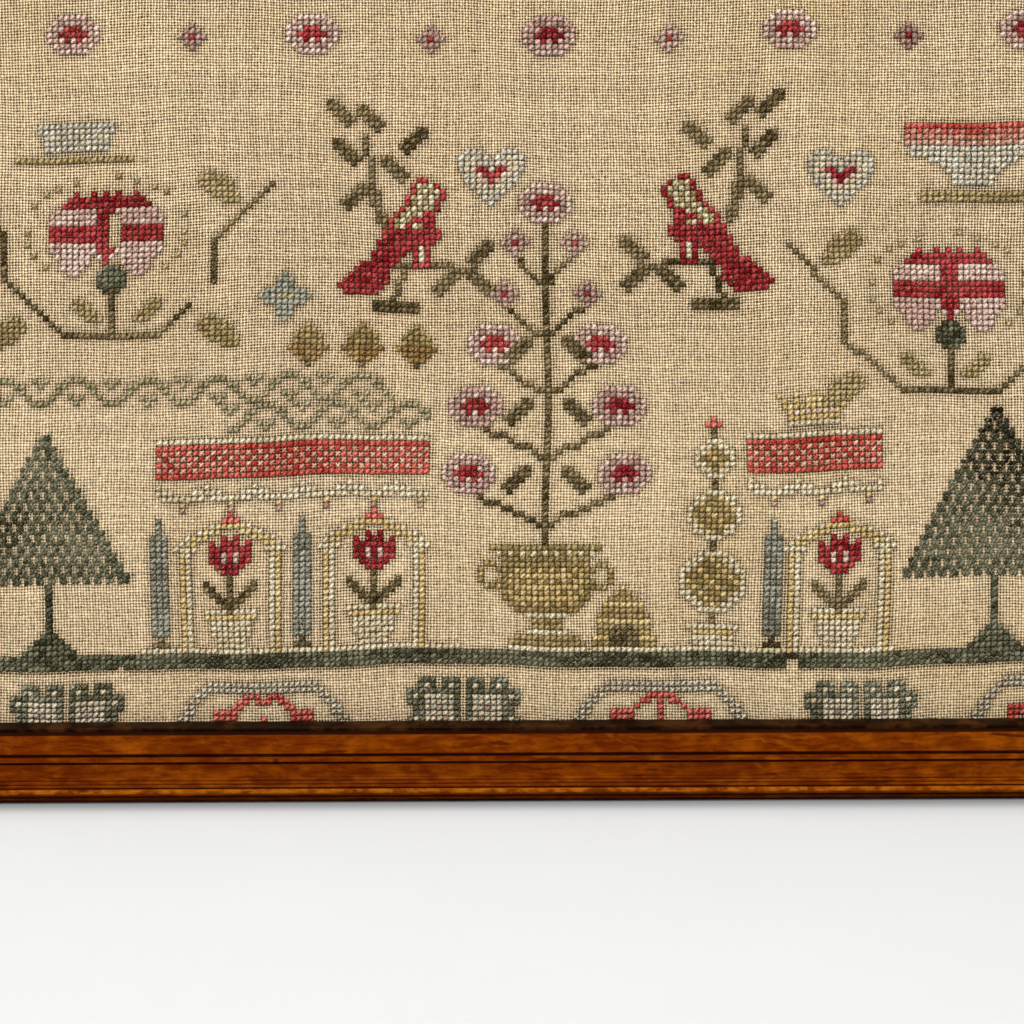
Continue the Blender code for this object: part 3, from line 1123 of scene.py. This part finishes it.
def maple_finish(name, grain_axis):
    """Figured maple under old shellac. grain_axis is the axis that the member's length follows."""
    maple = Finish(name, Specular_IOR_Level=0.015)
    spot = maple.place()
    if grain_axis == "X":
        cross_axis, low, high = "Z", SIGHT_BOTTOM, SIGHT_TOP
    else:
        cross_axis, low, high = "X", SIGHT_LEFT, SIGHT_RIGHT
    along = maple.part(spot, grain_axis)
    across = maple.part(spot, cross_axis)
    depth = maple.part(spot, "Y")
    height = 0.0 - depth
    outward = abs(across - (low + high) / 2) - (high - low) / 2

    def drawn_out(share, *settings):
        """Noise drawn out along the grain, which it follows at a share of its own pace."""
        return maple.noise(maple.join(along * share, across, depth), *settings)

    curl = drawn_out(0.8, 70.0, 3.0, 0.6)
    bent = maple.join(along * 0.1 + curl * 0.004, across + curl * 0.006, depth)
    grain = maple.noise(bent, 900.0, 4.0, 0.6)
    cloud = maple.noise(maple.join(along, across * 1.7, depth), 130.0, 4.0, 0.62)
    curled = maple.join(along * 0.6 + curl * 0.012, across * 1.4 + curl * 0.004, depth)
    ribbon = maple.noise(curled, 330.0, 3.0, 0.6)
    sweep = maple.noise(maple.join(along, 0.0), 11.0, 1.0)
    glow = (cloud * 0.6 + ribbon * 0.5 + grain * 0.3 + sweep * 0.35).eased(0.75, 1.23)
    wood = maple.mix(glow, maple.mix(grain.eased(0.3, 0.7), DARK_MAPLE, BROWN_MAPLE), HONEY_MAPLE)

    front = height.eased(*MOULDED_FACE)
    crest_line, crest_half = BEAD_CREST
    # Painted highlight along the bead's crest, mottled.
    bead_highlight = (1.0 - abs(outward - crest_line) / crest_half).eased(0.0, 0.6) * front
    highlight_mottle = drawn_out(0.5, 420.0, 3.0, 0.65).eased(0.4, 0.62)
    wood = maple.mix(bead_highlight * (0.05 + 0.95 * highlight_mottle), wood, HIGHLIT_MAPLE)
    fleck = drawn_out(0.16, 420.0, 1.0).eased(0.69, 0.76)
    wood = maple.mix(fleck * 0.7, wood, FLECK)
    eye = maple.node("ShaderNodeTexVoronoi", Vector=maple.join(along, across), Scale=95.0)
    knot = (1.0 - eye.eased(0.05, 0.14)) * maple.noise(spot, 23.0, 0.0).eased(0.56, 0.6)
    wood = maple.mix(knot * 0.85, wood, KNOT)

    wear = drawn_out(0.12, 260.0, 3.0).eased(0.3, 0.62)
    # Painted shade and grime on the outer slope and along the dark lines, worn away on the lighter lines.
    grime_and_shade = 0.3 * outward.eased(*OUTER_SLOPE)
    for line, half, dark in DARK_LINES:
        within = (1.0 - abs(outward - line) / half).eased(0.0, 0.35)
        strength = dark if dark > UNWORN_LINE else dark * wear * 1.3
        grime_and_shade = maple.maths("MAXIMUM", grime_and_shade, within * strength)
    wood = maple.mix(grime_and_shade * front, wood, GRIME_AND_SHADE)
    bare = maple.mix(grain.eased(0.35, 0.65), *BARE_MAPLE)
    wood = maple.mix(height.eased(*BARE_BACK), bare, wood)
    scratch = drawn_out(0.05, 2600.0)
    maple.paint(Base_Color=wood, Roughness=0.4 + 0.22 * scratch + 0.1 * grain)
    maple.relief(0.5 * grain + 0.5 * scratch, 0.05 * MM, 0.5)
    return maple.material


def ebonised_finish():
    """Thin black stain over brown wood, worn through in places."""
    slip = Finish("ebonised_slip", Specular_IOR_Level=0.015)
    spot = slip.place()
    wear = slip.noise(spot, 120.0, 4.0, 0.65).eased(0.44, 0.66)
    drawn_out = slip.join(slip.part(spot, "X") * 0.2, slip.part(spot, "Z") * 0.2, slip.part(spot, "Y"))
    streak = slip.noise(drawn_out, 2500.0)
    colour = slip.mix(wear * (0.3 + 0.7 * streak), EBONISED, WORN_THROUGH)
    slip.paint(Base_Color=colour, Roughness=0.42 + 0.25 * wear)
    slip.relief(streak, 0.03 * MM, 0.4)
    return slip.material


def pine_finish():
    """The bare backing board, darkened by age, with upright grain."""
    pine = Finish("aged_pine", Specular_IOR_Level=0.2)
    spot = pine.place()
    bend = pine.noise(spot, 3.0, 1.0) * 0.012
    drawn_out = pine.join(pine.part(spot, "X") + bend, pine.part(spot, "Z") * 0.015)
    rings = pine.noise(drawn_out, 260.0, 4.0, 0.7)
    age = pine.noise(spot, 9.0, 4.0, 0.6)
    wood = pine.mix(rings.eased(0.3, 0.7), *PINE)
    wood = pine.mix(age.eased(0.45, 0.75) * 0.5, wood, DARKENED_PINE)
    pine.paint(Base_Color=wood, Roughness=0.7 + 0.2 * rings)
    pine.relief(rings, 0.15 * MM, 0.5)
    return pine.material


def dress_wood():
    """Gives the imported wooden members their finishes, with the grain along each."""
    members = (
        (maple_finish("honey_maple_x", "X"), ("frame_rail_bottom", "frame_rail_top")),
        (maple_finish("honey_maple_z", "Z"), ("frame_stile_left", "frame_stile_right")),
        (ebonised_finish(), ("slip_bottom", "slip_left", "slip_top", "slip_right")),
        (pine_finish(), ("back_board",)),
    )
    for finish, names in members:
        for name in names:
            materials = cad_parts[name].data.materials
            materials.clear()
            materials.append(finish)


# Studio

CAMERA_DISTANCE = 0.3004
FOCAL_LENGTH = 35.2
PHOTO_CENTRE = Vector((-2.4 * MM, 0.0, SIGHT_BOTTOM + 62.3 * MM))
CAMERA_ROLL = 0.26

# Distances from the frame's foot over which the floor grows lighter.
FOOT_SHADOW = (-1.0 * MM, 9.5 * MM)
SOFT_SHADOW = (3.5 * MM, 18.5 * MM)
FLOOR_REACH = 3.0
FLOOR_COLOURS = ((0.765, 0.795, 0.815), (0.79, 0.82, 0.84))

# Each lamp's place, the point it looks at, its width and height, power and colour.
LAMPS = {
    "window": ((-0.22, -0.62, 0.95), (0.0, 0.0, -0.12), (0.7, 0.45), 15.0, (1.0, 0.985, 0.96)),
    "fill": ((0.9, -0.9, 0.2), (0.0, 0.0, -0.1), (0.8, 0.8), 2.0, (0.95, 0.98, 1.0)),
    "back_fill": ((-0.5, 1.2, 0.7), (0.0, 0.0, 0.0), (1.0, 1.0), 8.0, (1.0, 0.99, 0.97)),
}
SKY_COLOUR = (0.95, 0.97, 1.0, 1.0)
SKY_STRENGTH = 0.42


def add_camera():
    """A camera where the photograph's was: close to the cloth, square to it and near its foot."""
    lens = bpy.data.cameras.new("camera")
    lens.lens = FOCAL_LENGTH
    lens.clip_start = 0.01
    camera = add_object("camera", lens)
    camera.location = PHOTO_CENTRE + Vector((0.0, -CLOTH_FRONT - CAMERA_DISTANCE, 0.0))
    camera.rotation_euler = (math.radians(90), math.radians(CAMERA_ROLL), 0.0)
    bpy.context.scene.camera = camera


def add_lamp(name, place, target, size, power, colour):
    """A rectangular lamp that looks at a point."""
    light = bpy.data.lights.new(name, "AREA")
    light.shape = "RECTANGLE"
    light.size, light.size_y = size
    light.energy = power
    light.color = colour
    lamp = add_object(name, light)
    lamp.location = place
    lamp.rotation_euler = (Vector(target) - Vector(place)).to_track_quat("-Z", "Y").to_euler()


def add_floor():
    """A pale floor, dimmer round the frame's foot."""
    mesh = bpy.data.meshes.new("floor")
    corners = [(FLOOR_REACH * x, FLOOR_REACH * y, FLOOR) for x, y in ((-1, -1), (1, -1), (1, 1), (-1, 1))]
    mesh.from_pydata(corners, [], [(0, 1, 2, 3)])
    paper = Finish("pale_floor", Roughness=0.9, Specular_IOR_Level=0.05)
    mottle = paper.noise(paper.place(), 30.0, 3.0)
    beside = abs(paper.part(paper.place(), "X")) - cad_box[1].x
    beyond = abs(paper.part(paper.place(), "Y") - cad_box[0].y / 2) + cad_box[0].y / 2
    away = paper.maths("MAXIMUM", beside, beyond)
    dimness = 0.41 + 0.47 * away.eased(*FOOT_SHADOW) + 0.12 * away.eased(*SOFT_SHADOW)
    paper.paint(Base_Color=paper.scaled(paper.mix(mottle, *FLOOR_COLOURS), dimness))
    mesh.materials.append(paper.material)
    floor = add_object("floor", mesh)


def add_studio():
    """The floor, a soft window above and in front, two fills and a pale world."""
    add_floor()
    world = bpy.data.worlds.new("pale_room")
    world.use_nodes = True
    sky = world.node_tree.nodes["Background"]
    sky.inputs["Color"].default_value = SKY_COLOUR
    sky.inputs["Strength"].default_value = SKY_STRENGTH
    bpy.context.scene.world = world
    for name, settings in LAMPS.items():
        add_lamp(name, *settings)
    bpy.context.scene.view_settings.view_transform = "Standard"
    bpy.context.scene.view_settings.look = "None"


def dress():
    """Lays every cloth of stitches on the linen, and finishes the wood.

    Where two cloths meet, a cell keeps the stitch of the later one.
    """
    cloths = border_cloths() + [landscape_cloth(), garden_cloth(), creatures_cloth()] + upper_cloths()
    taken = {}
    for cloth in reversed(cloths):
        filled = {(math.floor(col), math.floor(row)) for col, row in taken}
        cloth.cells = {
            (col, row): stitch for (col, row), stitch in cloth.cells.items()
            if (math.floor(col), math.floor(row)) not in filled
        }
        taken.update(cloth.cells)
    linen = add_linen(taken)
    stitches = [add_stitches(cloth) for cloth in cloths]
    dress_wood()


add_camera()
dress()
add_studio()
